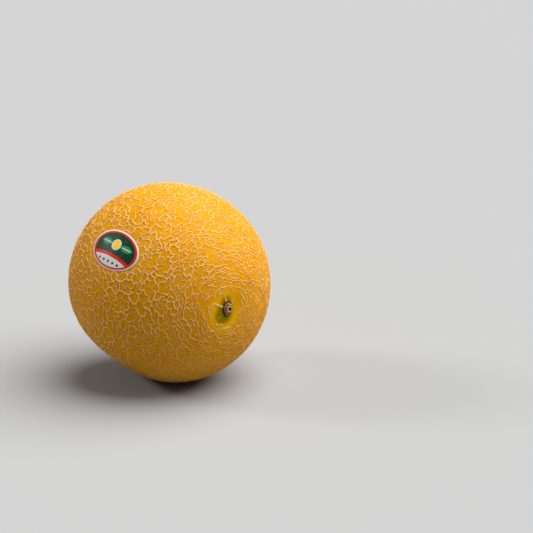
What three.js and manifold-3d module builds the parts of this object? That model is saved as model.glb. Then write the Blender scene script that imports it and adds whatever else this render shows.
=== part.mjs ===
// A whole galia melon lying on its side, as it comes off the vine.
// Millimetres, +Z up. The fruit's own axis runs along Y, with the stem end towards -Y, and the
// lowest point of the rind is cut to a small flat spot at z = 0, right under the fruit.
//
// Three pieces: the fruit with its raised cork net, the dry stub of its stalk, and an oval label.

import * as THREE from "three";
import { ConvexHull } from "three/addons/math/ConvexHull.js";
import { mergeVertices } from "three/addons/utils/BufferGeometryUtils.js";
import Module from "manifold-3d";

// Fruit
const girthRadius = 71.5; // half the width across the axis
const axisRadius = 74.2; // half the length along the axis
const flatSpotDepth = 1.0; // how much of the lowest point the flat spot takes off
const lumpHeight = 0.5;

// The side that lay on the ground grew flatter. Directions are unit vectors in the fruit's frame.
const groundSide = new THREE.Vector3(-0.657, 0.136, -0.74).normalize();
const groundFlattening = 4.2;
const groundSpread = 0.12; // in 1 - cos(angle)

// Hollow round the stalk, and the pit that the stub stands in
const stemHollowDepth = 2.6;
const stemHollowRadius = 10;
const pitRadius = 4.8;
const pitDepth = 1.1;

// Eye left by the flower, at the other end
const eyeRadius = 4.2;
const eyeDepth = 0.7;

// Cork net
const netCell = 10.2; // spacing between the middles of two meshes of the net
const netHeight = 1.1;
const netFoot = 1.45; // from the crest of a ridge to its foot
const longestRidge = 9; // a longer ridge gets a bend in its middle
const ridgeBend = 0.12; // sideways, as a share of the ridge's length
const jitter = 0.72;
const stretchStrength = 3.2; // the net draws out into arcs round the stem
const stretchReach = 0.3; // in radians from the stem
const stemMeshRadius = 15.5; // first row of meshes, from the stem
const eyeMeshRadius = 12;

// Stub of the stalk, a little taller than it is wide
const stubFoot = 4.2;
const stubHeight = 3.9;
const stubOval = [0.87, 1.15]; // across and up
const seamGap = 0.3; // between two pieces that meet

// Label
const labelDirection = new THREE.Vector3(-0.803, -0.209, 0.56).normalize();
const labelLength = 45;
const labelWidth = 29.3;
const labelThickness = 0.5;
const labelTwist = -0.04; // its long side, turned from the fruit's axis
const labelNetShare = 0.3; // how much of the net's height is left under it

const stemAxis = new THREE.Vector3(0, -1, 0);

// Repeatable draws from 0 to 1
let seed = 20261128;
function draw() {
  seed = (Math.imul(seed, 1664525) + 1013904223) >>> 0;
  return seed / 4294967296;
}

// Directions: theta from the stem, phi round the axis from straight up towards +X

function directionAt(theta, phi) {
  return new THREE.Vector3(
    Math.sin(theta) * Math.sin(phi),
    -Math.cos(theta),
    Math.sin(theta) * Math.cos(phi),
  );
}

function thetaOf(direction) {
  return Math.acos(THREE.MathUtils.clamp(direction.dot(stemAxis), -1, 1));
}

function fadeIn(value, from, to) {
  return THREE.MathUtils.smoothstep(value, from, to);
}

// The rind without its net: how far it is from the fruit's centre in a direction

function rindRadius(direction) {
  const along = direction.dot(stemAxis);
  const across = Math.sqrt(Math.max(0, 1 - along * along));
  const egg = 1 / Math.hypot(along / axisRadius, across / girthRadius);
  const ground = groundFlattening * Math.exp(-(1 - direction.dot(groundSide)) / groundSpread);
  const { x, y, z } = direction;
  const lumps =
    Math.sin(3.1 * x + 1.7 * y + 0.4) +
    Math.sin(2.6 * y - 2.2 * z + 1.9) +
    Math.sin(3.4 * z + 1.3 * x + 4.1);
  const fromStem = (girthRadius * across) / stemHollowRadius;
  const hollow = along > 0 ? stemHollowDepth * Math.exp(-fromStem * fromStem) : 0;
  return egg - ground + (lumpHeight * lumps) / 3 - hollow;
}

const lowestRadius = rindRadius(new THREE.Vector3(0, 0, -1));
const axisHeight = lowestRadius - flatSpotDepth;

// The cork stands full over most of the fruit. It fades at the stem, at the eye, where the fruit
// rests and under the label.

function corkHeight(direction) {
  const theta = thetaOf(direction);
  const fromStem = theta * girthRadius;
  const fromEye = (Math.PI - theta) * girthRadius;
  const fromRest = direction.angleTo(new THREE.Vector3(0, 0, -1)) * girthRadius;
  const label = labelPlace(direction);
  const ends = (0.35 + 0.65 * fadeIn(fromStem, 7, 26)) * (0.4 + 0.6 * fadeIn(fromEye, 5, 18));
  const underLabel = labelNetShare + (1 - labelNetShare) * fadeIn(label, 1.0, 1.5);
  return netHeight * ends * fadeIn(fromRest, 15, 24) * underLabel;
}

// Net: the meshes are sites spread in rows from the stem to the eye. Round the stem they are
// drawn out sideways, so they are joined up on a second sphere where that stretch is undone.

function stretchAt(theta) {
  const pull = (stretchStrength / stretchReach) * Math.exp(-theta / stretchReach);
  return 1 + Math.sin(theta) * pull;
}

function unstretched(theta) {
  const shrink = Math.exp(-stretchStrength * Math.exp(-theta / stretchReach));
  return 2 * Math.atan(Math.tan(theta / 2) * shrink);
}

function netSites() {
  const sites = [{ theta: 0, phi: 0 }];
  const lastRow = Math.PI - eyeMeshRadius / girthRadius;
  let theta = stemMeshRadius / girthRadius;
  while (theta < lastRow) {
    const stretch = stretchAt(theta);
    const rowStep = netCell / Math.sqrt(stretch) / girthRadius;
    const round = 2 * Math.PI * Math.sin(theta) * girthRadius;
    const count = Math.max(7, Math.round(round / (netCell * Math.sqrt(stretch))));
    const start = draw() * 2 * Math.PI;
    for (let i = 0; i < count; i++) {
      const phi = start + ((i + (draw() - 0.5) * jitter) * 2 * Math.PI) / count;
      const lift = (draw() - 0.5) * jitter * rowStep;
      sites.push({ theta: theta + lift, phi });
    }
    theta += rowStep;
  }
  sites.push({ theta: Math.PI, phi: 0 });
  for (const site of sites) site.direction = directionAt(site.theta, site.phi);
  return sites;
}

// Triangles between neighbouring sites, each as three site numbers, counter-clockwise from outside

function joinSites(sites) {
  const points = sites.map((site) => directionAt(unstretched(site.theta), site.phi));
  const numberOf = new Map(points.map((point, i) => [point, i]));
  const hull = new ConvexHull().setFromPoints(points);
  return hull.faces.map((face) => {
    const edge = face.edge;
    return [edge, edge.next, edge.prev].map((e) => numberOf.get(e.head().point));
  });
}

// The loop of triangles round each site. Their middles are the corners of its mesh.

function loopsRoundSites(sites, triangles) {
  const across = new Map();
  triangles.forEach(([a, b, c], t) => {
    across.set(`${a} ${b}`, { triangle: t, next: c });
    across.set(`${b} ${c}`, { triangle: t, next: a });
    across.set(`${c} ${a}`, { triangle: t, next: b });
  });
  const first = sites.map(() => -1);
  triangles.forEach((corners) => corners.forEach((s, i) => (first[s] = corners[(i + 1) % 3])));
  return sites.map((_, site) => {
    const loop = [];
    let neighbour = first[site];
    do {
      const { triangle, next } = across.get(`${site} ${neighbour}`);
      loop.push({ triangle, next });
      neighbour = next;
    } while (neighbour !== first[site]);
    return loop;
  });
}

// Fruit: every mesh of the net is a floor with a slope up to the crest line that it shares

function makeFruitSurface() {
  const sites = netSites();
  const triangles = joinSites(sites);
  const loops = loopsRoundSites(sites, triangles);
  const positions = [];
  const indices = [];

  function addPoint(direction, height) {
    positions.push(...direction.clone().multiplyScalar(rindRadius(direction) + height));
    return positions.length / 3 - 1;
  }

  function addCrest(direction) {
    return { direction, point: addPoint(direction, corkHeight(direction)) };
  }

  const corners = triangles.map((triangle) => {
    const middle = new THREE.Vector3();
    for (const site of triangle) middle.add(sites[site].direction);
    return addCrest(middle.normalize());
  });

  // A long ridge bends in its middle. Both meshes beside it share that point.
  const bends = new Map();
  function bendBetween(from, to, key) {
    if (bends.has(key)) return bends.get(key);
    const length = from.direction.angleTo(to.direction) * girthRadius;
    let bend = null;
    if (length > longestRidge) {
      const side = from.direction.clone().cross(to.direction).normalize();
      const offset = (length / girthRadius) * ridgeBend * (draw() < 0.5 ? -1 : 1);
      const middle = from.direction.clone().add(to.direction).normalize();
      bend = addCrest(middle.addScaledVector(side, offset).normalize());
    }
    bends.set(key, bend);
    return bend;
  }

  function crestLoop(site) {
    const crest = [];
    loops[site].forEach(({ triangle, next }, i) => {
      const after = loops[site][(i + 1) % loops[site].length];
      const key = [site, next].sort((a, b) => a - b).join(" ");
      crest.push(corners[triangle]);
      const bend = bendBetween(corners[triangle], corners[after.triangle], key);
      if (bend) crest.push(bend);
    });
    return crest;
  }

  function joinLoops(outer, inner) {
    outer.forEach((point, i) => {
      const j = (i + 1) % outer.length;
      indices.push(point, outer[j], inner[j], point, inner[j], inner[i]);
    });
  }

  function closeLoop(loop, middle) {
    loop.forEach((point, i) => indices.push(point, loop[(i + 1) % loop.length], middle));
  }

  // A plain mesh of the net, floored round the middle of its corners
  function addMesh(crest) {
    const middle = new THREE.Vector3();
    for (const corner of crest) middle.add(corner.direction);
    middle.normalize();
    const foot = crest.map(({ direction }) => {
      const reach = direction.angleTo(middle) * girthRadius;
      const share = Math.min(netFoot / reach, 0.42);
      return addPoint(direction.clone().lerp(middle, share).normalize(), 0);
    });
    joinLoops(crest.map((corner) => corner.point), foot);
    closeLoop(foot, addPoint(middle, 0));
  }

  // The bare ends of the fruit: rings that turn from the crest's outline into circles.
  // Each ring is [radius, depth below the rind].
  function addEnd(pole, crest, rings) {
    let outer = crest.map((corner) => corner.point);
    rings.forEach(([radius, depth], step) => {
      const round = (step + 1) / rings.length;
      const inner = crest.map(({ direction }) => {
        const theta = Math.acos(direction.dot(pole));
        const own = theta - (theta - radius / girthRadius) * 0.8;
        const angle = THREE.MathUtils.lerp(own, radius / girthRadius, Math.min(1, round * 1.5));
        const away = direction.clone().addScaledVector(pole, -direction.dot(pole)).normalize();
        const at = pole.clone().multiplyScalar(Math.cos(angle));
        return addPoint(at.addScaledVector(away, Math.sin(angle)), -depth);
      });
      joinLoops(outer, inner);
      outer = inner;
    });
    closeLoop(outer, addPoint(pole.clone(), -rings[rings.length - 1][1]));
  }

  const stem = 0;
  const eye = sites.length - 1;
  sites.forEach((_, site) => {
    const crest = crestLoop(site);
    if (site === stem) {
      addEnd(stemAxis.clone(), crest, [[10, 0], [6.4, 0], [3, 0]]);
    } else if (site === eye) {
      const rings = [[eyeRadius + 1, 0], [eyeRadius, eyeDepth], [eyeRadius * 0.4, eyeDepth * 0.4]];
      addEnd(stemAxis.clone().negate(), crest, rings);
    } else addMesh(crest);
  });

  const geometry = new THREE.BufferGeometry();
  geometry.setAttribute("position", new THREE.Float32BufferAttribute(positions, 3));
  geometry.setIndex(indices);
  return geometry.translate(0, 0, axisHeight);
}

// Solids are only joined and cut with manifold-3d

const wasm = await Module();
wasm.setup();

function toSolid(geometry) {
  const bare = geometry.clone();
  bare.deleteAttribute("normal");
  bare.deleteAttribute("uv");
  const merged = mergeVertices(bare, 1e-4);
  const mesh = new wasm.Mesh({
    numProp: 3,
    vertProperties: merged.attributes.position.array,
    triVerts: new Uint32Array(merged.index.array),
  });
  return new wasm.Manifold(mesh);
}

function toGeometry(solid) {
  const mesh = solid.getMesh();
  const geometry = new THREE.BufferGeometry();
  geometry.setAttribute("position", new THREE.BufferAttribute(mesh.vertProperties, 3));
  geometry.setIndex(new THREE.BufferAttribute(mesh.triVerts, 1));
  return geometry;
}

const pitFloor = rindRadius(stemAxis) - pitDepth;

function makeFruit() {
  const slab = new THREE.BoxGeometry(80, 80, 20).translate(0, 0, -10);
  const plug = new THREE.CylinderGeometry(pitRadius, pitRadius, 10, 24);
  plug.scale(stubOval[0], 1, stubOval[1]).translate(0, -(pitFloor + 5), axisHeight);
  const whole = toSolid(makeFruitSurface());
  return toGeometry(whole.subtract(toSolid(slab)).subtract(toSolid(plug)));
}

// Stub of the stalk: a ringed cork peg with a lip and the hole of its dried pith, turned about +Y

function makeStub() {
  const outline = [
    [0, 0],
    [stubFoot, 0],
    [stubFoot, 1.4],
    [4.0, 1.8],
    [4.1, 2.3],
    [3.6, 2.7],
    [3.5, 3.1],
    [2.7, 3.3],
    [2.4, stubHeight],
    [1.3, stubHeight],
    [0.8, stubHeight - 0.8],
    [0, stubHeight - 1],
  ].map(([radius, height]) => new THREE.Vector2(radius, height));
  return new THREE.LatheGeometry(outline, 20).scale(stubOval[0], 1, stubOval[1]);
}

// Label: a thin oval that follows the rind. Places on it are across and along its middle.

const labelAlong = stemAxis
  .clone()
  .addScaledVector(labelDirection, -stemAxis.dot(labelDirection))
  .normalize()
  .applyAxisAngle(labelDirection, labelTwist);
const labelAcross = labelDirection.clone().cross(labelAlong);

// 0 in the middle of the label and 1 on its rim
function labelPlace(direction) {
  const angle = direction.angleTo(labelDirection);
  if (angle > 1) return 9;
  const along = (direction.dot(labelAlong) * girthRadius * 2) / labelLength;
  const across = (direction.dot(labelAcross) * girthRadius * 2) / labelWidth;
  return Math.hypot(along, across);
}

function makeLabel() {
  const rings = 4;
  const sides = 40;
  const under = netHeight * labelNetShare + seamGap;
  const positions = [];
  const indices = [];

  function addPoint(share, turn, height) {
    const along = (share * Math.cos(turn) * labelLength) / 2;
    const across = (share * Math.sin(turn) * labelWidth) / 2;
    const direction = labelDirection
      .clone()
      .multiplyScalar(girthRadius)
      .addScaledVector(labelAlong, along)
      .addScaledVector(labelAcross, across)
      .normalize();
    positions.push(...direction.multiplyScalar(rindRadius(direction) + height));
    return positions.length / 3 - 1;
  }

  function addFace(height) {
    const loops = [];
    const middle = addPoint(0, 0, height);
    for (let ring = 1; ring <= rings; ring++) {
      const loop = [];
      for (let i = 0; i < sides; i++)
        loop.push(addPoint(ring / rings, (i / sides) * 2 * Math.PI, height));
      loops.push(loop);
    }
    return { middle, loops };
  }

  // Quads between two loops, or a fan where the inner loop is the middle
  function fill(outer, inner, flip) {
    outer.forEach((point, i) => {
      const j = (i + 1) % sides;
      const quad = inner
        ? [point, outer[j], inner[j], point, inner[j], inner[i]]
        : [point, outer[j], flip.middle];
      if (flip.reversed) quad.reverse();
      indices.push(...quad);
    });
  }

  const top = addFace(under + labelThickness);
  const bottom = addFace(under);
  for (const [face, reversed] of [[top, false], [bottom, true]])
    face.loops.forEach((loop, ring) => {
      fill(loop, face.loops[ring - 1], { middle: face.middle, reversed });
    });
  fill(bottom.loops[rings - 1], top.loops[rings - 1], { reversed: false });

  const geometry = new THREE.BufferGeometry();
  geometry.setAttribute("position", new THREE.Float32BufferAttribute(positions, 3));
  geometry.setIndex(indices);
  return geometry.translate(0, 0, axisHeight);
}

function makeMesh(name, geometry, color, roughness) {
  const material = new THREE.MeshStandardMaterial({ color, roughness, metalness: 0 });
  const mesh = new THREE.Mesh(geometry, material);
  mesh.name = name;
  return mesh;
}

const fruit = makeMesh("melon", makeFruit(), 0xe0a11c, 0.6);
const stub = makeMesh("stem_stub", makeStub(), 0x8a6038, 0.9);
const label = makeMesh("label", makeLabel(), 0x17563a, 0.45);

// The stub stands in the pit at the stem end, with its foot just clear of the pit's floor
stub.geometry.rotateX(Math.PI);
stub.geometry.translate(0, -(pitFloor + seamGap), axisHeight);

// The middle of the whole, stub included, goes over the origin
const melon = new THREE.Group();
melon.add(fruit, stub, label);
const middle = new THREE.Box3().setFromObject(melon).getCenter(new THREE.Vector3());
for (const mesh of melon.children) mesh.geometry.translate(-middle.x, -middle.y, 0);

export default melon;
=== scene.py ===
import math
import random

import bpy
import numpy as np
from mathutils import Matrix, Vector, noise
from mathutils.geometry import delaunay_2d_cdt
from mathutils.kdtree import KDTree


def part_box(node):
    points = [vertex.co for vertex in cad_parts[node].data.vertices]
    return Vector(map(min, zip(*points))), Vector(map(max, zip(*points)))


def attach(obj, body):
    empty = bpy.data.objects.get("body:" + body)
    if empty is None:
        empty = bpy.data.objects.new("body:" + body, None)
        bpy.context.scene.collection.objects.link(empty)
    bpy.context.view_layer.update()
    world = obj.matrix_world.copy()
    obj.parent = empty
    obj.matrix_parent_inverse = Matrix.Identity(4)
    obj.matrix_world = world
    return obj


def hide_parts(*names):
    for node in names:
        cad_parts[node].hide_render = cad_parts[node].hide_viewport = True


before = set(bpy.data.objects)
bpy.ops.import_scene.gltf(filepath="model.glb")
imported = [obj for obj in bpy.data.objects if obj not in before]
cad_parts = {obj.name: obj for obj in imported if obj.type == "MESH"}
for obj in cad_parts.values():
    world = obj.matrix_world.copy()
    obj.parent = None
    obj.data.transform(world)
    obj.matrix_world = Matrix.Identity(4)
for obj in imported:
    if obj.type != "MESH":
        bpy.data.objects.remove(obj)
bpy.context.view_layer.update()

print("frame loaded")

# Shapes are worked out in millimetres round the fruit's centre, then put in the frame in metres.
# The fruit's axis runs along Y with the stem end towards -Y.

fruit = {
    "girthRadius": 71.5,
    "axisRadius": 74.2,
    "groundSide": (-0.657, 0.136, -0.74),  # the flatter side
    "groundFlattening": 4.2,
    "groundSpread": 0.12,
    "lumpHeight": 0.5,
    "hollowDepth": 2.6,
    "hollowRadius": 10.0,
    "flatSpotDepth": 1.0,
    "pitDepth": 1.1,  # of the pit that the stalk stands in
    "clearance": 0.3,
    "narrower": 0.13,  # stalk and pit are less wide than round by this share
    "taller": 0.15,  # and taller by this one
}
girth = fruit["girthRadius"]

net = {
    "cell": 4.45,
    "cellAtStem": 0.76,  # share of the cell size right at the stem
    "firstRow": 19.4,  # from the stem
    "lastRow": 7.5,  # from the flower end
    "jitter": 1.12,
    "height": 0.62,
    "highSide": (-0.75, 0.35, -0.1),  # where the ridges have that height
    "flatShare": 0.66,  # share of it on the other side
    "halfWidth": 0.7,
    "stemWidth": 0.72,  # share of that width where the net starts round the stem
    "thinnest": 0.36,  # a ridge of no strength would still have this share of the width
    "widening": 0.7,
    "squareIn": 0.62,  # how far a ridge's sides run square to it, not to the cell's middle
    "shoulder": 0.42,  # where the shoulder is, as a share of the way to the foot
    "shoulderHeight": 0.8,
    "mostInward": 0.42,  # share of the way to the cell's middle that a ridge may take
    "room": 0.5,  # kept free round the cell's middle
    "step": 1.6,  # along a ridge
    "wiggle": 0.2,
    "faint": 0.07,  # share of the ridges round the coarse meshes that are weak
    "faintStrength": 0.45,
    "missing": 0.13,  # share of the inner ridges that never formed
    "spurs": 0.28,  # share of them that stop short
    "broken": 0.2,  # share of the ridges nearest the stem that are broken off
    "brokenStrength": 0.15,
    "outwardLoss": 0.94,  # near the stem, how much weaker the ridges that run out from it are
    "stemGain": 0.35,  # and how much stronger the others
    "innerGap": 1.3,  # from the first row of cells to the net's inner edge
    "edgeGap": 0.35,  # from there to the first ring of the bare rind
    "warp": 2.2,  # the whole net drawn this way and that, so that its ridges curve
    "warpScale": 9.5,
    "fineWarp": 0.8,
    "fineWarpScale": 24.0,
    "coarseCell": 10.2,
    "coarseFirstRow": 15.5,
    "coarseLastRow": 12.0,
    "coarseJitter": 0.72,
    "coarseSeed": 20261128,
    "stretchStrength": 3.2,
    "stretchReach": 0.3,
    "pillow": 0.1,  # how much the skin swells between the ridges
    "seed": 41,
}

label = {
    "direction": (-0.803, -0.209, 0.56),
    "length": 45.0,
    "width": 29.3,
    "thickness": 0.14,
    "lift": 0.5,
    "twist": -0.04,
    "netShare": 0.3,  # of the net's height is left under it
    "rimDrop": 0.14,
    "rings": 22,
    "sides": 120,
}

stemAxis = np.array([0.0, -1.0, 0.0])


def unit(v):
    v = np.asarray(v, dtype=float)
    return v / np.linalg.norm(v, axis=-1, keepdims=True)


def smooth(value, low, high):
    t = np.clip((value - low) / (high - low), 0, 1)
    return t * t * (3 - 2 * t)


# theta runs from the stem to the flower end, phi round the fruit from straight up
def directionAt(theta, phi):
    across = math.sin(theta)
    return np.array([across * math.sin(phi), -math.cos(theta), across * math.cos(phi)])


def angleTo(dirs, axis):
    return np.arccos(np.clip(dirs @ unit(axis), -1, 1))


# The same rind as in the CAD model


def rindRadius(dirs):
    along = dirs @ stemAxis
    across = np.sqrt(np.maximum(0, 1 - along**2))
    egg = 1 / np.hypot(along / fruit["axisRadius"], across / girth)
    lean = 1 - dirs @ unit(fruit["groundSide"])
    ground = fruit["groundFlattening"] * np.exp(-lean / fruit["groundSpread"])
    x, y, z = dirs[..., 0], dirs[..., 1], dirs[..., 2]
    lumps = np.sin(3.1 * x + 1.7 * y + 0.4) + np.sin(2.6 * y - 2.2 * z + 1.9)
    lumps = lumps + np.sin(3.4 * z + 1.3 * x + 4.1)
    fromStem = girth * across / fruit["hollowRadius"]
    hollow = np.where(along > 0, fruit["hollowDepth"] * np.exp(-(fromStem**2)), 0)
    return egg - ground + fruit["lumpHeight"] * lumps / 3 - hollow


def labelAxes():
    middle = unit(label["direction"])
    along = unit(stemAxis - stemAxis @ middle * middle)
    side = np.cross(middle, along)
    turn = label["twist"]
    along = along * math.cos(turn) + side * math.sin(turn)
    return middle, along, np.cross(middle, along)


# Distance from the label's middle, 1 at its edge and far off on the fruit's other side
def labelPlace(dirs):
    middle, along, sideways = labelAxes()
    u = dirs @ along * 2 * girth / label["length"]
    v = dirs @ sideways * 2 * girth / label["width"]
    return np.where(dirs @ middle > 0.54, np.hypot(u, v), 9.0)


# Share of the net's height: less at both ends and under the label, none on the flat spot
def corkShare(dirs):
    theta = angleTo(dirs, stemAxis)
    fromStem, fromFlower = theta * girth, (math.pi - theta) * girth
    ends = (0.55 + 0.45 * smooth(fromStem, 7, 24)) * (0.4 + 0.6 * smooth(fromFlower, 5, 18))
    rest = smooth(angleTo(dirs, (0, 0, -1)) * girth, 14, 22)
    under = label["netShare"] + (1 - label["netShare"]) * smooth(labelPlace(dirs), 1.0, 1.3)
    return ends * rest * under


# The fruit's centre lies straight behind the stalk's foot, and above the flat spot
stubLow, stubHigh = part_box("stem_stub")
pitFloor = float(rindRadius(stemAxis)) - fruit["pitDepth"]
centre = np.array([
    (stubLow[0] + stubHigh[0]) / 2 * 1000,
    stubHigh[1] * 1000 + pitFloor + fruit["clearance"],
    float(rindRadius(np.array([0.0, 0.0, -1.0]))) - fruit["flatSpotDepth"],
])
print("fruit centre", centre)


def toFrame(dirs, radius):
    points = dirs * np.asarray(radius)[..., None] + centre
    points[..., 2] = np.maximum(points[..., 2], 0)
    return points / 1000


# Net: sites in rows from the stem to the flower end, joined up on a flat chart of the fruit in
# which the stretch round the stem is undone


def stretchAt(theta):
    strength, reach = net["stretchStrength"], net["stretchReach"]
    return 1 + math.sin(theta) * strength / reach * math.exp(-theta / reach)


def chartRadius(theta):
    strength, reach = net["stretchStrength"], net["stretchReach"]
    return math.tan(theta / 2) * math.exp(-strength * math.exp(-theta / reach))


def sitesInRows(cellAt, firstRow, lastRow, jitter, fewest, draw):
    sites = [(0.0, 0.0)]
    theta = firstRow / girth
    while theta < math.pi - lastRow / girth:
        stretch = math.sqrt(stretchAt(theta))
        cell = cellAt(theta)
        rowStep = cell / stretch / girth
        count = max(fewest, round(2 * math.pi * math.sin(theta) * girth / (cell * stretch)))
        start = draw() * 2 * math.pi
        for i in range(count):
            phi = start + (i + (draw() - 0.5) * jitter) * 2 * math.pi / count
            sites.append((theta + (draw() - 0.5) * jitter * rowStep, phi))
        theta += rowStep
    sites.append((math.pi, 0.0))
    return sites


# The CAD model's own draw, so that its coarse meshes come out the same here
def coarseDraw():
    state = [net["coarseSeed"]]

    def draw():
        state[0] = (state[0] * 1664525 + 1013904223) % 4294967296
        return state[0] / 4294967296

    return draw


# A site's place once the chart is folded up to a ball again
def foldedUp(theta, phi):
    return Vector(directionAt(2 * math.atan(chartRadius(theta)), phi))


# Triangles between the sites, with a fan from the outermost ones to the flower end
def joinSites(sites):
    flat = []
    for theta, phi in sites[:-1]:
        radius = chartRadius(theta)
        flat.append(Vector((radius * math.cos(-phi), radius * math.sin(-phi))))
    _, _, faces, origVerts, _, _ = delaunay_2d_cdt(flat, [], [], 0, 1e-9)
    index = [own[0] for own in origVerts]
    triangles = [tuple(index[i] for i in face) for face in faces]
    far = len(sites) - 1
    edges = {(t[i], t[(i + 1) % 3]) for t in triangles for i in range(3)}
    rim = [(a, b) for a, b in edges if (b, a) not in edges]
    return triangles + [(b, a, far) for a, b in rim]


def fineCell(theta):
    return net["cell"] * (net["cellAtStem"] + (1 - net["cellAtStem"]) * float(smooth(theta, 0.2, 1.2)))


def coarseCell(theta):
    return net["coarseCell"]


rng = random.Random(net["seed"])
fineSites = sitesInRows(fineCell, net["firstRow"], net["lastRow"], net["jitter"], 9, rng.random)
coarseRows = (net["coarseFirstRow"], net["coarseLastRow"])
coarseSites = sitesInRows(coarseCell, *coarseRows, net["coarseJitter"], 7, coarseDraw())
flowerEnd = len(fineSites) - 1

# Each site belongs to the coarse mesh that it lies in
coarseTree = KDTree(len(coarseSites))
for i, (theta, phi) in enumerate(coarseSites):
    coarseTree.insert(foldedUp(theta, phi), i)
coarseTree.balance()
cluster = [coarseTree.find(foldedUp(theta, phi))[1] for theta, phi in fineSites]
siteDirs = np.array([directionAt(t, p) for t, p in fineSites])
triangles = joinSites(fineSites)
print("net of", len(fineSites), "cells and", len(triangles), "corners")

# Each directed edge of a triangle finds the triangle to its left and that one's third site
leftOf = {}
for n, (a, b, c) in enumerate(triangles):
    leftOf[a, b] = (n, c)
    leftOf[b, c] = (n, a)
    leftOf[c, a] = (n, b)

dirs = []  # one unit vector for each point of the rind's mesh
lift = []  # how far it stands off the smooth rind, for cork as a share of the net's height
mask = []  # 1 on cork, 0 on skin
faces = []


def addPoint(direction, height, cork):
    dirs.append(direction)
    lift.append(height)
    mask.append(cork)
    return len(dirs) - 1


def patchy(direction, scale, offset):
    return noise.noise(Vector(direction) * scale + Vector((offset, 0, 0)))


spurs = {}  # ridges that stop short: from their far end or not, and how far they reach


# Strength of each ridge: whole round the coarse meshes, finer within them, where some are
# missing and some stop short, so that the cells are of many sizes with spurs running into them.
# Near the stem the ridges that run round it are stronger than those that run out from it.
def ridgeStrength(a, b, middle, run):
    slow = patchy(middle, 3.0, 5.0)
    quick = patchy(middle, 9.0, 2.0)
    if cluster[a] != cluster[b]:
        strength = max(0.66, min(1.2, 1.0 + 0.2 * slow + 0.28 * quick + rng.uniform(-0.16, 0.16)))
        if rng.random() < net["faint"]:
            strength *= net["faintStrength"]
    else:
        strength = max(0.34, min(0.9, rng.uniform(0.44, 0.82) + 0.14 * slow + 0.24 * quick))
        if rng.random() < net["missing"]:
            strength = 0.0
        elif rng.random() < net["spurs"]:
            spurs[a, b] = (rng.random() < 0.5, rng.uniform(0.35, 0.8))
    away = middle - middle @ stemAxis * stemAxis
    outward = unit(unit(away) * (middle @ stemAxis) - stemAxis * np.linalg.norm(away))
    radial = abs(unit(run) @ outward)
    fromStem = float(angleTo(middle, stemAxis)) * girth
    near = 1 - float(smooth(fromStem, 21, 44))
    strength *= 1 - near * net["outwardLoss"] * float(smooth(radial, 0.45, 0.8))
    strength = min(1.2, strength * (1 + net["stemGain"] * near))
    # the first rings of the net are broken into strokes
    if rng.random() < net["broken"] * (1 - float(smooth(fromStem, 19, 36))):
        strength *= net["brokenStrength"]
    return strength


def drift(at, offset):
    return Vector([noise.noise(at + Vector((offset, 7.3 * k, 3.1))) for k in range(3)])


# A direction drawn this way and that, less towards both ends
def warped(direction):
    d = Vector(direction)
    theta = float(angleTo(np.asarray(direction), stemAxis))
    calm = float(smooth(theta * girth, 15, 32)) * float(smooth((math.pi - theta) * girth, 6, 14))
    shift = drift(d * net["warpScale"], 0.0) * net["warp"]
    shift += drift(d * net["fineWarpScale"], 9.0) * net["fineWarp"]
    return unit(np.array(d + shift * (calm / girth)))


def pairOf(a, b):
    return min(a, b), max(a, b)


cornerDirs = unit(siteDirs[np.array(triangles)].sum(axis=1))
for n, corners in enumerate(triangles):
    if 0 in corners:
        # the innermost corners keep half a row from the first row of cells
        rim = unit(sum(siteDirs[i] for i in corners if i != 0))
        theta = float(angleTo(rim, stemAxis)) - net["innerGap"] / girth
        cornerDirs[n] = directionAt(theta, math.atan2(rim[0], rim[2]))
edgeStrength = {}
for a, b in leftOf:
    if a < b:
        p, q = cornerDirs[leftOf[a, b][0]], cornerDirs[leftOf[b, a][0]]
        edgeStrength[a, b] = ridgeStrength(a, b, unit(p + q), q - p + 1e-9)
cornerStrength = []
for a, b, c in triangles:
    near = sorted((edgeStrength[pairOf(a, b)], edgeStrength[pairOf(b, c)], edgeStrength[pairOf(c, a)]))
    cornerStrength.append(0.5 * near[2] + 0.5 * near[1])
cornerPoint = [addPoint(warped(cornerDirs[i]), s, s) for i, s in enumerate(cornerStrength)]

ridges = {}  # the points along each ridge's crest
for (a, b), strength in edgeStrength.items():
    start, end = leftOf[a, b][0], leftOf[b, a][0]
    p, q = cornerDirs[start], cornerDirs[end]
    length = np.linalg.norm(p - q) * girth
    steps = max(1, round(length / net["step"]))
    side = np.cross(p, q)
    side = side / (np.linalg.norm(side) + 1e-9)
    bow = rng.uniform(-1, 1) * net["wiggle"]
    steps += (a, b) in spurs
    path = [cornerPoint[start]]
    for k in range(1, steps):
        t = k / steps
        sway = (bow * math.sin(math.pi * t) + rng.uniform(-0.5, 0.5) * net["wiggle"] * 0.6) * length
        direction = unit(p * (1 - t) + q * t + side * sway / girth)
        ends = cornerStrength[start] * (1 - t) + cornerStrength[end] * t
        own = strength * rng.uniform(0.8, 1.14)
        if (a, b) in spurs:
            fromFar, reach = spurs[a, b]
            gone = float(smooth(1 - t if fromFar else t, reach - 0.3, reach + 0.1))
            own *= 1 - gone
            ends *= 1 - gone
        blend = abs(2 * t - 1) ** 2 * 0.5
        s = min(1.05, ends * blend + own * (1 - blend))
        path.append(addPoint(warped(direction), s, s))
    path.append(cornerPoint[end])
    ridges[a, b] = path


firstNeighbour = {}
for a, b in leftOf:
    firstNeighbour.setdefault(a, b)


# Points on the crests round one cell, counter-clockwise
def loopRound(site):
    loop = []
    neighbour = firstNeighbour[site]
    while True:
        path = ridges[pairOf(site, neighbour)]
        loop += path[:0:-1] if site < neighbour else path[:-1]
        neighbour = leftOf[site, neighbour][1]
        if neighbour == firstNeighbour[site]:
            return loop


def dirsOf(loop):
    return np.array([dirs[i] for i in loop])


def following(points):
    return np.roll(points, -1, axis=0)


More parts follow.
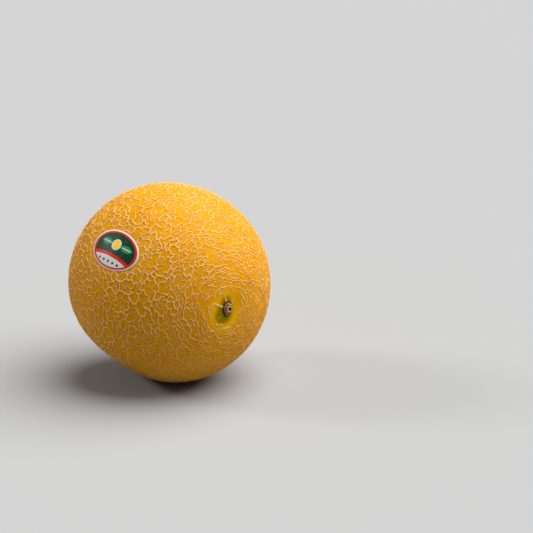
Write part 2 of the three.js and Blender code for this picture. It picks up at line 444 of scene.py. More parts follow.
# Points moved in from the crests by a share of each ridge's half width, and the ridges' strengths
def inward(loop, middle, share, slim):
    p = dirsOf(loop)
    before, after = np.roll(p, 1, axis=0), following(p)
    toMiddle = middle - p
    reach = np.linalg.norm(toMiddle, axis=1) * girth
    normal = unit(np.cross(p, after - before))
    s = np.array([mask[i] for i in loop])
    move = unit(net["squareIn"] * normal + (1 - net["squareIn"]) * unit(toMiddle))
    fromStem = float(angleTo(middle, stemAxis)) * girth
    thin = net["stemWidth"] + (1 - net["stemWidth"]) * float(smooth(fromStem, 14, 34))
    width = net["halfWidth"] * thin * share * (net["thinnest"] + net["widening"] * np.minimum(s, 1.1))
    width = np.minimum(width, reach * net["mostInward"] * share) * slim
    return unit(p + move * (width / girth)[:, None]), s


# Above 0 where the triangle a b c faces outwards
def facing(a, b, c):
    return np.einsum("ij,ij->i", np.cross(b - a, c - a), a)


# A middle that all sides of the loop face, found by moving it in from the worst side each time
def openMiddle(loop, middle):
    p = dirsOf(loop)
    sides = unit(np.cross(p, following(p)))
    room = net["room"] / girth
    for _ in range(16):
        off = sides @ middle
        worst = int(np.argmin(off))
        if off[worst] > room:
            break
        middle = unit(middle + sides[worst] * (1.2 * room - off[worst]))
    return middle


# Shoulder and foot of the ridges round a cell, made slimmer wherever they would fold over
def ridgeSides(loop, middle):
    p = dirsOf(loop)
    slim = np.ones(len(loop))
    for _ in range(7):
        shoulder, s = inward(loop, middle, net["shoulder"], slim)
        foot, _ = inward(loop, middle, 1.0, slim)
        folded = facing(foot, following(foot), np.broadcast_to(middle, foot.shape)) <= 0
        for outer, inner in ((p, shoulder), (shoulder, foot)):
            folded |= facing(outer, following(outer), following(inner)) <= 0
            folded |= facing(outer, following(inner), inner) <= 0
        if not folded.any():
            break
        slim = np.where(folded | np.roll(folded, 1), slim * 0.55, slim)
    return shoulder, foot, s


def joinLoops(outer, inner):
    n = len(outer)
    for i in range(n):
        j = (i + 1) % n
        faces.append((outer[i], outer[j], inner[j], inner[i]))


# Rings that finish the two ends, as (radius, depth below the rind) in mm: the bare rind and the
# pit at the stem, the ring scar at the flower end
endRings = {
    0: [(17.3 - 0.48 * k, 0.0) for k in range(25)],
    flowerEnd: [(5.2, -0.05), (4.7, -0.22), (4.2, -0.3), (3.8, -0.05), (3.5, 0.45)],
}
endRings[0] += [(5.3, -0.08), (5.0, -0.06), (4.78, 0.3), (4.6, 1.1), (2.4, 1.15)]
endRings[flowerEnd] += [(3.0, 0.6), (2.2, 0.5), (1.4, 0.25), (0.7, 0.1)]
endSides = {0: 156, flowerEnd: 60}

# Raised veins and short arcs on the bare rind round the stalk: places as (degrees from straight
# up, mm from the stalk's middle), then half width and strength
veinHeight = 0.4
strokes = [
    ([(-11, 4.8), (-15, 8.5), (-16, 12.0)], 0.5, 1.0),
    ([(46, 5.0), (42, 7.8), (38, 10.4)], 0.5, 0.95),
    ([(-62, 4.8), (-64, 9.4), (-63, 13.2), (-72, 14.5), (-81, 14.8)], 0.6, 1.0),
    ([(-125, 7.6), (-123, 10.6)], 0.4, 0.45),
    ([(-176, 5.2), (178, 7.6)], 0.4, 0.4),
    ([(-84, 16.9), (-94, 15.8), (-107, 15.3), (-125, 14.4), (-145, 13.3)], 0.7, 1.0),
    ([(-156, 14.5), (-172, 14.0), (-190, 13.7)], 0.6, 1.0),
    ([(-146, 11.6), (-159, 12.2)], 0.5, 0.8),
    ([(170, 11.9), (157, 11.5)], 0.45, 0.7),
    ([(124, 10.0), (110, 10.5), (96, 10.3)], 0.5, 0.9),
    ([(86, 12.0), (71, 11.6)], 0.5, 0.8),
    ([(80, 14.6), (64, 14.3), (47, 14.5)], 0.5, 0.85),
    ([(119, 14.8), (107, 14.3), (98, 13.9)], 0.4, 0.6),
    ([(143, 15.6), (133, 15.0), (125, 14.9)], 0.45, 0.7),
    ([(127, 17.1), (113, 16.8)], 0.45, 0.8),
    ([(100, 16.5), (84, 16.9), (74, 16.4)], 0.5, 0.85),
    ([(58, 17.0), (44, 17.2)], 0.5, 0.8),
    ([(156, 14.6), (150, 16.0), (147, 17.2)], 0.5, 0.7),
    ([(-47, 16.9), (-32, 16.7), (-16, 16.5)], 0.6, 1.0),
    ([(-35, 13.8), (-23, 13.7)], 0.55, 0.9),
    ([(-10, 15.5), (-2, 16.5), (5, 17.2)], 0.6, 0.9),
    ([(5, 17.2), (11, 15.5), (16, 13.8)], 0.55, 0.9),
    ([(28, 16.9), (22, 15.6)], 0.5, 0.6),
    ([(-66, 16.6), (-58, 17.2)], 0.5, 0.8),
    ([(-106, 17.2), (-118, 16.9), (-128, 17.1)], 0.5, 0.8),
    ([(-140, 16.4), (-152, 16.9)], 0.5, 0.8),
    ([(-170, 16.2), (178, 16.6), (168, 16.2)], 0.5, 0.8),
]


def onPlane(degrees, radius):
    return math.sin(math.radians(degrees)) * radius, math.cos(math.radians(degrees)) * radius


# How raised the rind is at a place round the stalk, from 0 to 1
def veinAt(degrees, radius):
    x, y = onPlane(degrees, radius)
    most = 0.0
    for places, wide, strength in strokes:
        points = [onPlane(*place) for place in places]
        for n, (a, b) in enumerate(zip(points, points[1:])):
            runX, runY = b[0] - a[0], b[1] - a[1]
            t = ((x - a[0]) * runX + (y - a[1]) * runY) / (runX**2 + runY**2)
            t = min(1.0, max(0.0, t))
            off = math.hypot(x - a[0] - runX * t, y - a[1] - runY * t)
            if off > 3 * wide:
                continue
            along = (n + t) / (len(points) - 1)
            # a vein thins out away from the stalk, an arc towards both its ends
            taper = 1 - 0.55 * (along if places[0][1] < 6 else abs(2 * along - 1) ** 3)
            most = max(most, math.exp(-((off / wide) ** 2) / 1.4) * strength * taper)
    return most


# Triangles between two closed loops that both run counter-clockwise, with any number of points
def zipLoops(outer, outerAngle, inner, innerAngle):
    first = int(np.argmin(outerAngle))
    outer = outer[first:] + outer[: first + 1]
    a = list(np.roll(outerAngle, -first)) + [outerAngle[first] + 2 * math.pi]
    second = int(np.argmin(innerAngle))
    inner = inner[second:] + inner[: second + 1]
    b = list(np.roll(innerAngle, -second)) + [innerAngle[second] + 2 * math.pi]
    i = j = 0
    while i < len(outer) - 1 or j < len(inner) - 1:
        if j == len(inner) - 1 or (i < len(outer) - 1 and a[i + 1] <= b[j + 1]):
            faces.append((outer[i], outer[i + 1], inner[j]))
            i += 1
        else:
            faces.append((outer[i], inner[j + 1], inner[j]))
            j += 1


# Ring after ring from the net's edge to the pole
def finishEnd(site, loop, angles, e1, e2):
    pole = siteDirs[site]
    atStem = site == 0
    rings = endRings[site]
    count = endSides[site]
    ringAngles = [2 * math.pi * k / count for k in range(count)]
    # the outer rings stay inside the wavy edge of the net
    order = np.argsort(angles)
    reach = np.array([float(angleTo(dirs[i], pole)) for i in loop])[order] * girth
    nearest = np.minimum(reach, np.minimum(np.roll(reach, 1), np.roll(reach, -1)))
    room = np.interp(ringAngles, angles[order], nearest, period=2 * math.pi) - net["edgeGap"]
    widest = rings[0][0]
    squeeze = np.minimum(room / widest, 1) - 1
    previous = None
    for plainRadius, depth in rings:
        ring = []
        squeezed = float(smooth(plainRadius, 0.5 * widest, widest)) if atStem else 1.0
        for k, angle in enumerate(ringAngles):
            radius = plainRadius * (1 + squeeze[k] * squeezed)
            if atStem:
                # the pit is as oval as the stalk that stands in it
                wide = math.cos(angle) / (1 - fruit["narrower"])
                tall = math.sin(angle) / (1 + fruit["taller"])
                wobble = 1 + (1 / math.hypot(wide, tall) - 1) * (1 - float(smooth(radius, 5.4, 8.6)))
            else:
                wobble = 1 + (0.02 * math.sin(3 * angle + 1) + 0.015 * math.sin(5 * angle))
            tilt = radius * wobble / girth
            sideways = (e1 * math.cos(angle) + e2 * math.sin(angle)) * math.sin(tilt)
            d = pole * math.cos(tilt) + sideways
            degrees = math.degrees(math.atan2(d[0], d[2]))
            vein = veinAt(degrees, radius) if atStem and radius > 4.9 else 0.0
            scar = 0.0 if atStem else float(smooth(-depth, 0.02, 0.2)) * 0.8
            ring.append(addPoint(d, -depth + vein * veinHeight, max(vein, scar)))
        if previous is None:
            zipLoops(loop, angles, ring, np.array(ringAngles))
        else:
            joinLoops(previous, ring)
        previous = ring
    last = addPoint(pole, -rings[-1][1], 0.0)
    for i in range(count):
        faces.append((previous[i], previous[(i + 1) % count], last))


# Ridges that bend so far that no middle sees the whole cell are drawn straighter
beside = {}
for path in ridges.values():
    for a, b in zip(path, path[1:]):
        beside.setdefault(a, []).append(b)
        beside.setdefault(b, []).append(a)
for _ in range(8):
    hidden = set()
    for site in range(len(fineSites)):
        if site in endRings:
            continue
        loop = loopRound(site)
        p = dirsOf(loop)
        middle = openMiddle(loop, unit(p.sum(axis=0)))
        seen = facing(p, following(p), np.broadcast_to(middle, p.shape))
        for i in np.flatnonzero(seen <= 0):
            hidden |= {loop[i], loop[(i + 1) % len(loop)]}
    for point in sorted(hidden):
        between = sum(dirs[i] for i in beside[point])
        dirs[point] = unit(0.5 * dirs[point] + 0.5 * between / len(beside[point]))
    print("bends too far:", len(hidden), "points")

isSkin = []  # points whose lift is in mm already
isFoot = []  # a ridge's foot is a crisp edge
for site in range(len(fineSites)):
    loop = loopRound(site)
    if site in endRings:
        middle = siteDirs[site]
    else:
        middle = openMiddle(loop, unit(dirsOf(loop).sum(axis=0)))
    shoulderDirs, footDirs, s = ridgeSides(loop, middle)
    s = net["shoulderHeight"] * s
    shoulder = [addPoint(d, v, v) for d, v in zip(shoulderDirs, s)]
    foot = [addPoint(d, 0.0, 0.0) for d in footDirs]
    isFoot += foot
    joinLoops(loop, shoulder)
    joinLoops(shoulder, foot)
    if site in endRings:
        e1 = np.array([1.0, 0.0, 0.0])
        e2 = np.cross(middle, e1)
        angles = np.arctan2(footDirs @ e2, footDirs @ e1) % (2 * math.pi)
        firstPoint = len(dirs)
        finishEnd(site, foot, angles, e1, e2)
        isSkin += range(firstPoint, len(dirs))
    else:
        size = np.linalg.norm(footDirs - middle, axis=1).mean() * girth
        hub = addPoint(middle, net["pillow"] * min(1.0, size / 2.0), 0.0)
        isSkin.append(hub)
        for i in range(len(foot)):
            faces.append((foot[i], foot[(i + 1) % len(foot)], hub))

dirs = np.array(dirs)
lift = np.array(lift)
mask = np.array(mask)
share = corkShare(dirs)
cork = np.ones(len(dirs), dtype=bool)
cork[isSkin] = False
relief = net["flatShare"] + (1 - net["flatShare"]) * smooth(dirs @ unit(net["highSide"]), -0.4, 0.7)
lift = np.where(cork, lift * net["height"] * share * relief, lift)
mask = np.where(cork, mask * (0.25 + 0.75 * smooth(share, 0.05, 0.5)) * smooth(share, 0.0, 0.12), mask)
print("rind has", len(dirs), "points")


def makeObject(name, points, polygons, attributes):
    mesh = bpy.data.meshes.new(name)
    mesh.from_pydata([tuple(p) for p in points], [], polygons)
    for key, values in attributes.items():
        layer = mesh.attributes.new(key, "FLOAT", "POINT")
        layer.data.foreach_set("value", np.asarray(values, dtype=np.float32))
    mesh.polygons.foreach_set("use_smooth", [True] * len(mesh.polygons))
    mesh.update()
    piece = bpy.data.objects.new(name, mesh)
    bpy.context.scene.collection.objects.link(piece)
    return piece


# 1 where the rind meets this direction from the centre, fading over a reach in mm
def glow(axis, reach):
    return np.exp(-((angleTo(dirs, axis) * girth / reach) ** 2))


# 1 on the side that faces this way, 0 on the other
def onSide(axis):
    return 0.5 + 0.5 * dirs @ unit(axis)


# Green round the stalk: the rind's own olive tint; the spot low and to the left of the stalk is painted
# shade in the hollow as well
stemGreenAndShade = 0.26 * glow(stemAxis, 10.5) + 0.8 * glow(directionAt(0.085, -2.3), 8.4)
stemGreenAndShade += 0.4 * glow(directionAt(0.105, -0.15), 5.2) + 0.13 * glow(stemAxis, 24.0)
lowGreen = 0.3 * glow((-0.25, -0.35, -0.9), 46.0)
rindPiece = makeObject(
    "melon_rind",
    toFrame(dirs, rindRadius(dirs) + lift),
    faces,
    {
        "cork": mask,
        "green": np.clip(np.maximum(stemGreenAndShade, lowGreen), 0, 1),
        "ground": glow(fruit["groundSide"], 26.0),
        "paleRidgeSide": onSide((-0.5, 0.4, 0.75)) + 0.4 * glow(stemAxis, 22.0),
        # side where the painted shade at the ridges' feet is strongest
        "footShadeSide": onSide((-0.75, 0.35, -0.25)),
    },
)
footPoint = np.zeros(len(dirs), dtype=bool)
footPoint[isFoot] = True
edgeEnds = np.empty(len(rindPiece.data.edges) * 2, dtype=np.int32)
rindPiece.data.edges.foreach_get("vertices", edgeEnds)
crisp = footPoint[edgeEnds.reshape(-1, 2)].all(axis=1)
rindPiece.data.attributes.new("sharp_edge", "BOOLEAN", "EDGE").data.foreach_set("value", crisp)
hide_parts("melon")
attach(rindPiece, "root")
rindPiece.data.calc_loop_triangles()
print("rind made,", len(rindPiece.data.loop_triangles), "triangles")


# Stub of the stalk: ringed cork, lopsided, with a pale lip round the dried pith, whose cup is painted
# nearly black: the pith's colour and painted shade of the hole together

stub = {
    # how far out from the foot, and radius there
    "profile": [
        (0.0, 3.6), (0.15, 4.1), (0.9, 4.2), (1.4, 4.12), (1.75, 3.85), (2.0, 4.0), (2.35, 4.05),
        (2.6, 3.75), (2.75, 3.6), (2.95, 3.62), (3.12, 3.4), (3.18, 3.0), (3.12, 2.75), (3.25, 2.62),
        (3.55, 2.55), (3.8, 2.35), (3.9, 2.05), (3.88, 1.75), (3.7, 1.4), (3.4, 1.15), (3.05, 0.95),
        (2.9, 0.5),
    ],
    "length": 3.9,
    "sides": 64,
    "lean": (0.4, 0.1),  # where the end is, off the foot's middle
    "rough": 0.12,  # uneven by these shares of the radius
    "fine": 0.05,
}


def makeStub():
    points, polygons, height, radial = [], [], [], []
    sides = stub["sides"]
    foot = -(pitFloor + fruit["clearance"])
    for level, (up, radius) in enumerate(stub["profile"]):
        for i in range(sides):
            angle = 2 * math.pi * i / sides
            cos, sin = math.cos(angle), math.sin(angle)
            rough = noise.noise(Vector((cos * 1.8, sin * 1.8, up * 1.3 + 7)))
            fine = noise.noise(Vector((cos * 6, sin * 6, up * 4)))
            calm = float(smooth(up, 0.2, 1.0))
            uneven = radius * (1 + stub["rough"] * rough * calm + stub["fine"] * fine * calm)
            shift = (up / stub["length"]) ** 2
            oval = float(smooth(radius, 2.4, 3.6))  # round at the lip, oval at the foot
            x = cos * uneven * (1 - fruit["narrower"] * oval) + stub["lean"][0] * shift
            z = sin * uneven * (1 + fruit["taller"] * oval) + stub["lean"][1] * shift
            y = foot - up + 0.3 * rough * calm * (1 if up > 3 else 0.5)
            points.append(((x + centre[0]) / 1000, (y + centre[1]) / 1000, (z + centre[2]) / 1000))
            height.append(up)
            radial.append(radius)
        if level:
            a, b = (level - 1) * sides, level * sides
            for i in range(sides):
                j = (i + 1) % sides
                polygons.append((a + i, a + j, b + j, b + i))
    last = (len(stub["profile"]) - 1) * sides
    polygons.append(tuple(last + i for i in range(sides)))
    polygons.append(tuple(reversed(range(sides))))
    return makeObject("stalk_stub", points, polygons, {"up": height, "radius": radial})


stubPiece = makeStub()
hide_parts("stem_stub")
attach(stubPiece, "root")
print("stub made")


# Label: a thin film that lies over the flattened net, with its rim down on the skin


def makeLabel():
    middle, along, sideways = labelAxes()
    rings, sides = label["rings"], label["sides"]

    points, us, vs, polygons = [], [], [], []

    def addSheetPoint(share, turn, drop):
        u = share * math.cos(turn)
        v = share * math.sin(turn)
        d = unit(middle * girth + along * u * label["length"] / 2 + sideways * v * label["width"] / 2)
        wave = noise.noise(Vector(d) * 26) * 0.07
        wave += noise.noise(Vector(d) * 11 + Vector((3, 1, 2))) * 0.08
        rim = float(smooth(np.array(share), 0.86, 1.0)) * label["rimDrop"]
        height = label["lift"] + wave - rim - drop
        points.append((d * (float(rindRadius(d)) + height) + centre) / 1000)
        us.append(u)
        vs.append(v)

    # the upper sheet, then the lower one with its faces turned over
    for order, drop in ((1, 0.0), (-1, label["thickness"])):
        start = len(points)
        addSheetPoint(0, 0, drop)
        for k in range(1, rings + 1):
            for i in range(sides):
                addSheetPoint(k / rings, 2 * math.pi * i / sides, drop)
        for i in range(sides):
            j = (i + 1) % sides
            polygons.append((start, start + 1 + i, start + 1 + j)[::order])
            for k in range(rings - 1):
                a, b = start + 1 + k * sides, start + 1 + (k + 1) * sides
                polygons.append((a + i, b + i, b + j, a + j)[::order])
    top = 1 + (rings - 1) * sides
    under = top + 1 + rings * sides
    for i in range(sides):
        j = (i + 1) % sides
        polygons.append((top + i, under + i, under + j, top + j))
    return makeObject("fruit_label", points, polygons, {"labelU": us, "labelV": vs})


labelPiece = makeLabel()
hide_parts("label")
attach(labelPiece, "root")
print("label made")


# Materials


def newMaterial(name):
    material = bpy.data.materials.new(name)
    material.use_nodes = True
    tree = material.node_tree
    return material, tree, tree.nodes["Principled BSDF"]


# Short ways to add and join nodes in one tree
class Nodes:
    def __init__(self, tree):
        self.tree = tree

    def add(self, kind, **settings):
        node = self.tree.nodes.new(kind)
        for key, value in settings.items():
            setattr(node, key, value)
        return node

    def put(self, socket, value):
        if isinstance(value, bpy.types.NodeSocket):
            self.tree.links.new(value, socket)
        elif isinstance(value, (tuple, list)) and len(value) == 3 and len(socket.default_value) == 4:
            socket.default_value = (*value, 1.0)
        else:
            socket.default_value = value

    def attribute(self, name):
        node = self.add("ShaderNodeAttribute", attribute_name=name, attribute_type="GEOMETRY")
        return node.outputs["Fac"]

    def math(self, operation, a, b=None, c=None, clamp=False):
        node = self.add("ShaderNodeMath", operation=operation, use_clamp=clamp)
        for socket, value in zip(node.inputs, (a, b, c)):
            if value is not None:
                self.put(socket, value)
        return node.outputs[0]

    def ramp(self, value, low, high, outLow=0.0, outHigh=1.0):
        node = self.add("ShaderNodeMapRange", interpolation_type="SMOOTHSTEP")
        for socket, v in zip(node.inputs, (value, low, high, outLow, outHigh)):
            self.put(socket, v)
        return node.outputs[0]

    def noise(self, vector, scale, detail=3.0, roughness=0.55, output=0):
        node = self.add("ShaderNodeTexNoise")
        self.put(node.inputs["Vector"], vector)
        self.put(node.inputs["Scale"], scale)
        node.inputs["Detail"].default_value = detail
        node.inputs["Roughness"].default_value = roughness
        return node.outputs[output]

    def cells(self, vector, scale, feature="F1"):
        node = self.add("ShaderNodeTexVoronoi", feature=feature)
        self.put(node.inputs["Vector"], vector)
        node.inputs["Scale"].default_value = scale
        return node.outputs["Distance"]

    def mix(self, factor, a, b):
        node = self.add("ShaderNodeMix", data_type="RGBA")
        self.put(node.inputs["Factor"], factor)
        self.put(node.inputs[6], a)
        self.put(node.inputs[7], b)
        return node.outputs[2]

    def place(self):
        return self.add("ShaderNodeTexCoord").outputs["Object"]

    def bump(self, height, strength, distance):
        node = self.add("ShaderNodeBump")
        node.inputs["Strength"].default_value = strength
        node.inputs["Distance"].default_value = distance
        self.put(node.inputs["Height"], height)
        return node.outputs[0]


# Grain of dry cork, in the net and in the stalk alike: darker pores in a light colour
def makeCorkGrain():
    group = bpy.data.node_groups.new("cork_grain", "ShaderNodeTree")
    inputs = {"Place": "Vector", "Scale": "Float", "Light": "Color", "Pores": "Color", "Share": "Float"}
    for name, kind in inputs.items():
        group.interface.new_socket(name, in_out="INPUT", socket_type="NodeSocket" + kind)
    for name, kind in {"Colour": "Color", "Height": "Float"}.items():
        group.interface.new_socket(name, in_out="OUTPUT", socket_type="NodeSocket" + kind)
    n = Nodes(group)
    given = n.add("NodeGroupInput").outputs
    made = n.add("NodeGroupOutput").inputs
    mottle = n.noise(given["Place"], given["Scale"], 3, 0.6)
    pores = n.noise(given["Place"], n.math("MULTIPLY", given["Scale"], 3.0), 3, 0.6)
    dark = n.math("MULTIPLY", n.ramp(mottle, 0.48, 0.74), given["Share"])
    n.put(made["Colour"], n.mix(dark, given["Light"], given["Pores"]))
    n.put(made["Height"], n.math("MULTIPLY_ADD", mottle, 0.4, n.math("MULTIPLY", pores, 0.6)))
    return group


corkGrain = makeCorkGrain()


def useCorkGrain(n, place, scale, light, pores, share):
    node = n.add("ShaderNodeGroup", node_tree=corkGrain)
    given = {"Place": place, "Scale": scale, "Light": light, "Pores": pores, "Share": share}
    for name, value in given.items():
        n.put(node.inputs[name], value)
    return node.outputs["Colour"], node.outputs["Height"]


rindLook = {
    "skin": (0.665, 0.288, 0.0),
    "skinDeep": (0.595, 0.236, 0.0),
    "skinPale": (0.75, 0.36, 0.001),
    "yellow": (0.71, 0.345, 0.0),
    # olive round the stalk, dark enough to stand in for the hollow's painted shade too
    "green": (0.20, 0.135, 0.0),
    "ground": (0.62, 0.37, 0.03),
    "speck": (0.20, 0.07, 0.01),
    "cork": (0.73, 0.36, 0.06),
    "corkPale": (0.78, 0.455, 0.21),
    "corkBrown": (0.42, 0.19, 0.05),
    # painted shade at the ridges' feet
    "creviceShade": (0.28, 0.105, 0.0),
    "hairline": (0.62, 0.31, 0.06),
}


def makeRindMaterial():
    material, tree, shader = newMaterial("rind_skin_and_net")
    n = Nodes(tree)
    at = n.place()
    slow = n.noise(at, 22, 3)
    medium = n.noise(at, 90, 4)
    fine = n.noise(at, 700, 3, 0.6)
    cork = n.attribute("cork")
    green = n.attribute("green")
    ground = n.attribute("ground")

    skin = n.mix(n.ramp(slow, 0.35, 0.68), rindLook["skin"], rindLook["skinDeep"])
    skin = n.mix(n.math("MULTIPLY", n.ramp(medium, 0.5, 0.75), 0.5), skin, rindLook["skinPale"])
    skin = n.mix(n.math("MULTIPLY", n.ramp(ground, 0.1, 0.9), 0.6), skin, rindLook["ground"])
    greenMask = n.math("MULTIPLY", green, n.ramp(medium, 0.2, 0.6, 0.7, 1.1), clamp=True)
    skin = n.mix(n.ramp(greenMask, 0.0, 0.5), skin, rindLook["yellow"])
    # full olive mostly in the spot low and left of the stalk: own tint with painted shade of the hollow
    skin = n.mix(n.ramp(greenMask, 0.38, 1.0), skin, rindLook["green"])
    dust = n.math("MULTIPLY", n.ramp(fine, 0.62, 0.72), 0.35)
    skin = n.mix(dust, skin, rindLook["skinPale"])
    # specks in patches, none of them on the green round the stalk
    speck = n.ramp(n.cells(at, 62), 0.03, 0.055, 1.0, 0.0)
    speck = n.math("MULTIPLY", speck, n.ramp(medium, 0.5, 0.62))
    speck = n.math("MULTIPLY", speck, n.ramp(green, 0.01, 0.055, 1.0, 0.0))
    skin = n.mix(speck, skin, rindLook["speck"])

    # hairline cork between the ridges, in patches
    shifted = n.add("ShaderNodeVectorMath", operation="MULTIPLY_ADD")
    n.put(shifted.inputs[0], n.noise(at, 150, 2.0, 0.5, "Color"))
    shifted.inputs[1].default_value = (0.004, 0.004, 0.004)
    n.put(shifted.inputs[2], at)
    hair = n.ramp(n.cells(shifted.outputs[0], 280, "DISTANCE_TO_EDGE"), 0.045, 0.12, 1.0, 0.0)
    hair = n.math("MULTIPLY", hair, n.ramp(n.noise(at, 170, 2), 0.46, 0.58))
    hair = n.math("MULTIPLY", hair, n.ramp(green, 0.2, 0.4, 1.0, 0.0))
    skin = n.mix(n.math("MULTIPLY", hair, 0.75), skin, rindLook["hairline"])

    edge = n.math("MULTIPLY_ADD", n.math("SUBTRACT", fine, 0.5), 0.35, cork)
    corkMask = n.ramp(edge, 0.22, 0.44)
    # strong ridges are paler than weak ones, most of all on the side that faces up and to the camera's
    # left, and round the stalk
    pale = n.math("MULTIPLY", n.ramp(cork, 0.45, 0.95), n.ramp(medium, 0.3, 0.65, 0.6, 1.0))
    pale = n.math("MULTIPLY", pale, n.ramp(n.attribute("paleRidgeSide"), 0.1, 0.85, 0.35, 1.0))
    corkColour = n.mix(pale, rindLook["cork"], rindLook["corkPale"])
    corkColour, grain = useCorkGrain(n, at, 700, corkColour, rindLook["corkBrown"], 0.45)
    # painted shade in a band along each ridge's foot, on ridges of some strength
    paintedFootShade = n.math("SUBTRACT", n.ramp(edge, 0.02, 0.16), n.ramp(edge, 0.16, 0.4))
    paintedFootShade = n.math("MULTIPLY", paintedFootShade, n.ramp(cork, 0.12, 0.3, 0.0, 1.0), clamp=True)
    # painted shade darkens the ridges' feet, most of all low on the label's side
    paintedFootShade = n.math("MULTIPLY", paintedFootShade, n.ramp(n.attribute("footShadeSide"), 0.4, 0.9, 0.45, 1.0))
    colour = n.mix(corkMask, skin, corkColour)
    colour = n.mix(paintedFootShade, colour, rindLook["creviceShade"])
    n.put(shader.inputs["Base Color"], colour)
    n.put(shader.inputs["Roughness"], n.ramp(corkMask, 0.0, 1.0, 0.48, 0.85))
    shader.inputs["Specular IOR Level"].default_value = 0.02

    skinGrain = n.math("MULTIPLY", fine, 0.35)
    height = n.math("MULTIPLY_ADD", n.math("MULTIPLY", grain, 0.6), corkMask, skinGrain)
    height = n.math("MULTIPLY_ADD", hair, 0.9, height)
    n.put(shader.inputs["Normal"], n.bump(height, 0.35, 0.0004))
    return material


stubLook = {
    "tan": (0.42, 0.19, 0.065),
    "tanPale": (0.68, 0.39, 0.17),
    "brown": (0.10, 0.04, 0.015),
    "brownPale": (0.22, 0.10, 0.04),
    "foot": (0.12, 0.038, 0.012),
    "moat": (0.05, 0.025, 0.014),
    "lip": (0.66, 0.40, 0.17),
    # nearly black: the pith's own dark colour with painted shade of the hole
    "pith": (0.022, 0.020, 0.017),
    "pores": (0.16, 0.07, 0.025),
}


def makeStubMaterial():
    material, tree, shader = newMaterial("stalk_cork")
    n = Nodes(tree)
    at = n.place()
    up = n.attribute("up")
    radius = n.attribute("radius")
    fine = n.noise(at, 900, 4, 0.65)
    medium = n.noise(at, 260, 3)
    tan = n.mix(n.ramp(fine, 0.35, 0.7), stubLook["tan"], stubLook["tanPale"])
    brown = n.mix(n.ramp(medium, 0.3, 0.7), stubLook["brown"], stubLook["brownPale"])
    wave = n.math("SINE", n.math("MULTIPLY_ADD", up, 5.5, n.math("MULTIPLY", medium, 11.0)))
    colour = n.mix(n.ramp(wave, -0.2, 0.6), tan, brown)
    foot = n.ramp(n.math("MULTIPLY_ADD", medium, 0.8, up), 1.9, 2.3, 1.0, 0.0)
    colour = n.mix(foot, colour, stubLook["foot"])
    # the dark moat inside the rim, then the pale lip round the pith
    moat = n.math("MULTIPLY", n.ramp(radius, 2.5, 2.7), n.ramp(radius, 3.1, 3.4, 1.0, 0.0))
    colour = n.mix(n.math("MULTIPLY", moat, 0.8), colour, stubLook["moat"])
    lip = n.math("MULTIPLY", n.ramp(radius, 1.15, 1.5), n.ramp(radius, 2.4, 2.6, 1.0, 0.0))
    lip = n.math("MULTIPLY", lip, n.ramp(medium, 0.4, 0.58, 0.3, 1.0))
    colour = n.mix(lip, colour, stubLook["lip"])
    # painted near black in the cup at the middle: dark pith with the hole's painted shade
    pith = n.ramp(radius, 1.15, 1.4, 1.0, 0.0)
    colour = n.mix(pith, colour, stubLook["pith"])
    colour, grain = useCorkGrain(n, at, 1100, colour, stubLook["pores"], 0.5)
    n.put(shader.inputs["Base Color"], colour)
    shader.inputs["Roughness"].default_value = 0.85
    shader.inputs["Specular IOR Level"].default_value = 0.1
    n.put(shader.inputs["Normal"], n.bump(grain, 0.6, 0.0006))
    return material


labelLook = {
    "white": (0.60, 0.60, 0.56),
    "green": (0.004, 0.042, 0.018),
    "leaf": (0.025, 0.20, 0.095),
    "red": (0.66, 0.012, 0.006),
    "gold": (0.85, 0.50, 0.03),
}


def makeLabelMaterial():
    material, tree, shader = newMaterial("printed_film")
    n = Nodes(tree)
    u = n.attribute("labelU")
    v = n.attribute("labelV")

    def square(value):
        return n.math("MULTIPLY", value, value)

    rho = n.math("SQRT", n.math("ADD", square(u), square(v)))

    # 1 inside an oval, in the label's own half widths
    def disc(cx, cy, rx, ry, soft=0.015):
        x = n.math("DIVIDE", n.math("SUBTRACT", u, cx), rx)
        y = n.math("DIVIDE", n.math("SUBTRACT", v, cy), ry)
        d = n.math("SQRT", n.math("ADD", square(x), square(y)))
        return n.ramp(d, 1 - soft, 1 + soft, 1.0, 0.0)

    # green field, over a curved red stripe and a white foot
    bow = n.math("MULTIPLY_ADD", square(u), 0.28, v)
    colour = n.mix(n.ramp(bow, -0.22, -0.20), labelLook["red"], labelLook["green"])
    colour = n.mix(n.ramp(bow, -0.38, -0.36, 1.0, 0.0), colour, labelLook["white"])
    # a round fruit between two leaves
    for side in (-1, 1):
        at = side * 0.43
        leaf = n.math("MULTIPLY", disc(at, 0.50, 0.31, 0.42), disc(at, 0.02, 0.31, 0.42))
        colour = n.mix(leaf, colour, labelLook["leaf"])
        vein = n.math("MULTIPLY", leaf, disc(at, 0.26, 0.2, 0.035))
        colour = n.mix(n.math("MULTIPLY", vein, 0.8), colour, labelLook["white"])
    colour = n.mix(disc(0, 0.27, 0.19, 0.28), colour, labelLook["white"])
    colour = n.mix(disc(0, 0.27, 0.155, 0.23), colour, labelLook["gold"])
    # a row of dots on the white foot
    for place in (-0.4, -0.2, 0.0, 0.2, 0.4):
        colour = n.mix(disc(place, -0.62, 0.045, 0.066, 0.08), colour, labelLook["green"])
    colour = n.mix(n.ramp(rho, 0.838, 0.853), colour, labelLook["red"])
    colour = n.mix(n.ramp(rho, 0.922, 0.937), colour, labelLook["white"])
    n.put(shader.inputs["Base Color"], colour)
    shader.inputs["Roughness"].default_value = 0.38
    shader.inputs["Specular IOR Level"].default_value = 0.12
    wave = n.noise(n.place(), 260, 2)
    n.put(shader.inputs["Normal"], n.bump(wave, 0.25, 0.0006))
    return material


rindPiece.data.materials.append(makeRindMaterial())
stubPiece.data.materials.append(makeStubMaterial())
labelPiece.data.materials.append(makeLabelMaterial())
print("materials made")


# Floor, light and camera

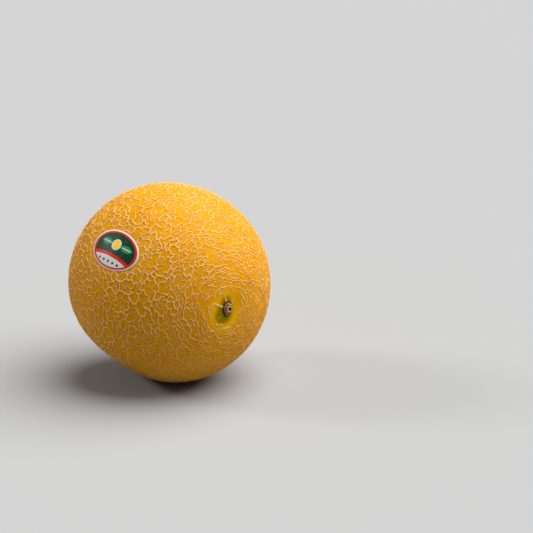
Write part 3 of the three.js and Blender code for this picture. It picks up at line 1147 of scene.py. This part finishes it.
scenery = {
    "floor": (0.32, 0.32, 0.32),
    "floorHalf": 6.0,
    "floorDrop": 0.00005,  # keeps the floor just off the flat spot
    "world": 0.13,
    "azimuth": -36.4,
    "elevation": 18.0,
    "distance": 2.6,  # in metres, from the fruit to the camera
    "sensor": 36,
    "farthest": 50,
    "pixelsPerMm": 1.3905,
    "photoSize": 533,
    "fruitPixel": (169.2, 283.1),  # where the fruit's centre lies in the photograph
}

# Each sun's strength, degrees across for soft shadows, and place to the right, up and back
suns = {
    "sun": (6.0, 70.0, (0.45, 0.85, 0.16)),
    "left": (1.05, 15.0, (-0.7, 0.42, 0.0)),
}

floorMesh = bpy.data.meshes.new("floor")
half = scenery["floorHalf"]
floorCorners = [(-half, -half, 0), (half, -half, 0), (half, half, 0), (-half, half, 0)]
floorMesh.from_pydata(floorCorners, [], [(0, 1, 2, 3)])
floor = bpy.data.objects.new("floor", floorMesh)
bpy.context.scene.collection.objects.link(floor)
floor.location.z = -scenery["floorDrop"]
floorMaterial, _, floorShader = newMaterial("floor_pale")
floorShader.inputs["Base Color"].default_value = (*scenery["floor"], 1)
floorShader.inputs["Roughness"].default_value = 0.9
floorMesh.materials.append(floorMaterial)

world = bpy.data.worlds.new("studio")
bpy.context.scene.world = world
world.use_nodes = True
background = world.node_tree.nodes["Background"].inputs
background["Color"].default_value = (1, 1, 1, 1)
background["Strength"].default_value = scenery["world"]

azimuth = math.radians(scenery["azimuth"])
elevation = math.radians(scenery["elevation"])
level = math.cos(elevation)
# right and up as the camera sees them, and back from the fruit to the camera
right = Vector((math.cos(azimuth), math.sin(azimuth), 0))
back = Vector((math.sin(azimuth) * level, -math.cos(azimuth) * level, math.sin(elevation)))
up = back.cross(right)

for name, (strength, across, place) in suns.items():
    sunData = bpy.data.lights.new(name, "SUN")
    sunData.energy = strength
    sunData.angle = math.radians(across)
    sun = bpy.data.objects.new(name, sunData)
    towards = right * place[0] + up * place[1] + back * place[2]
    sun.rotation_euler = towards.to_track_quat("Z", "Y").to_euler()
    bpy.context.scene.collection.objects.link(sun)

metresPerPixel = 0.001 / scenery["pixelsPerMm"]
halfPhoto = scenery["photoSize"] / 2
aim = Vector(centre / 1000) + right * (halfPhoto - scenery["fruitPixel"][0]) * metresPerPixel
aim -= up * (halfPhoto - scenery["fruitPixel"][1]) * metresPerPixel
cameraData = bpy.data.cameras.new("camera")
cameraData.sensor_width = scenery["sensor"]
cameraData.lens = scenery["sensor"] * scenery["distance"] / (scenery["photoSize"] * metresPerPixel)
cameraData.clip_end = scenery["farthest"]
camera = bpy.data.objects.new("camera", cameraData)
camera.location = aim + back * scenery["distance"]
camera.rotation_euler = back.to_track_quat("Z", "Y").to_euler()
bpy.context.scene.collection.objects.link(camera)
bpy.context.scene.camera = camera
bpy.context.scene.view_settings.view_transform = "Standard"

print("scene made")
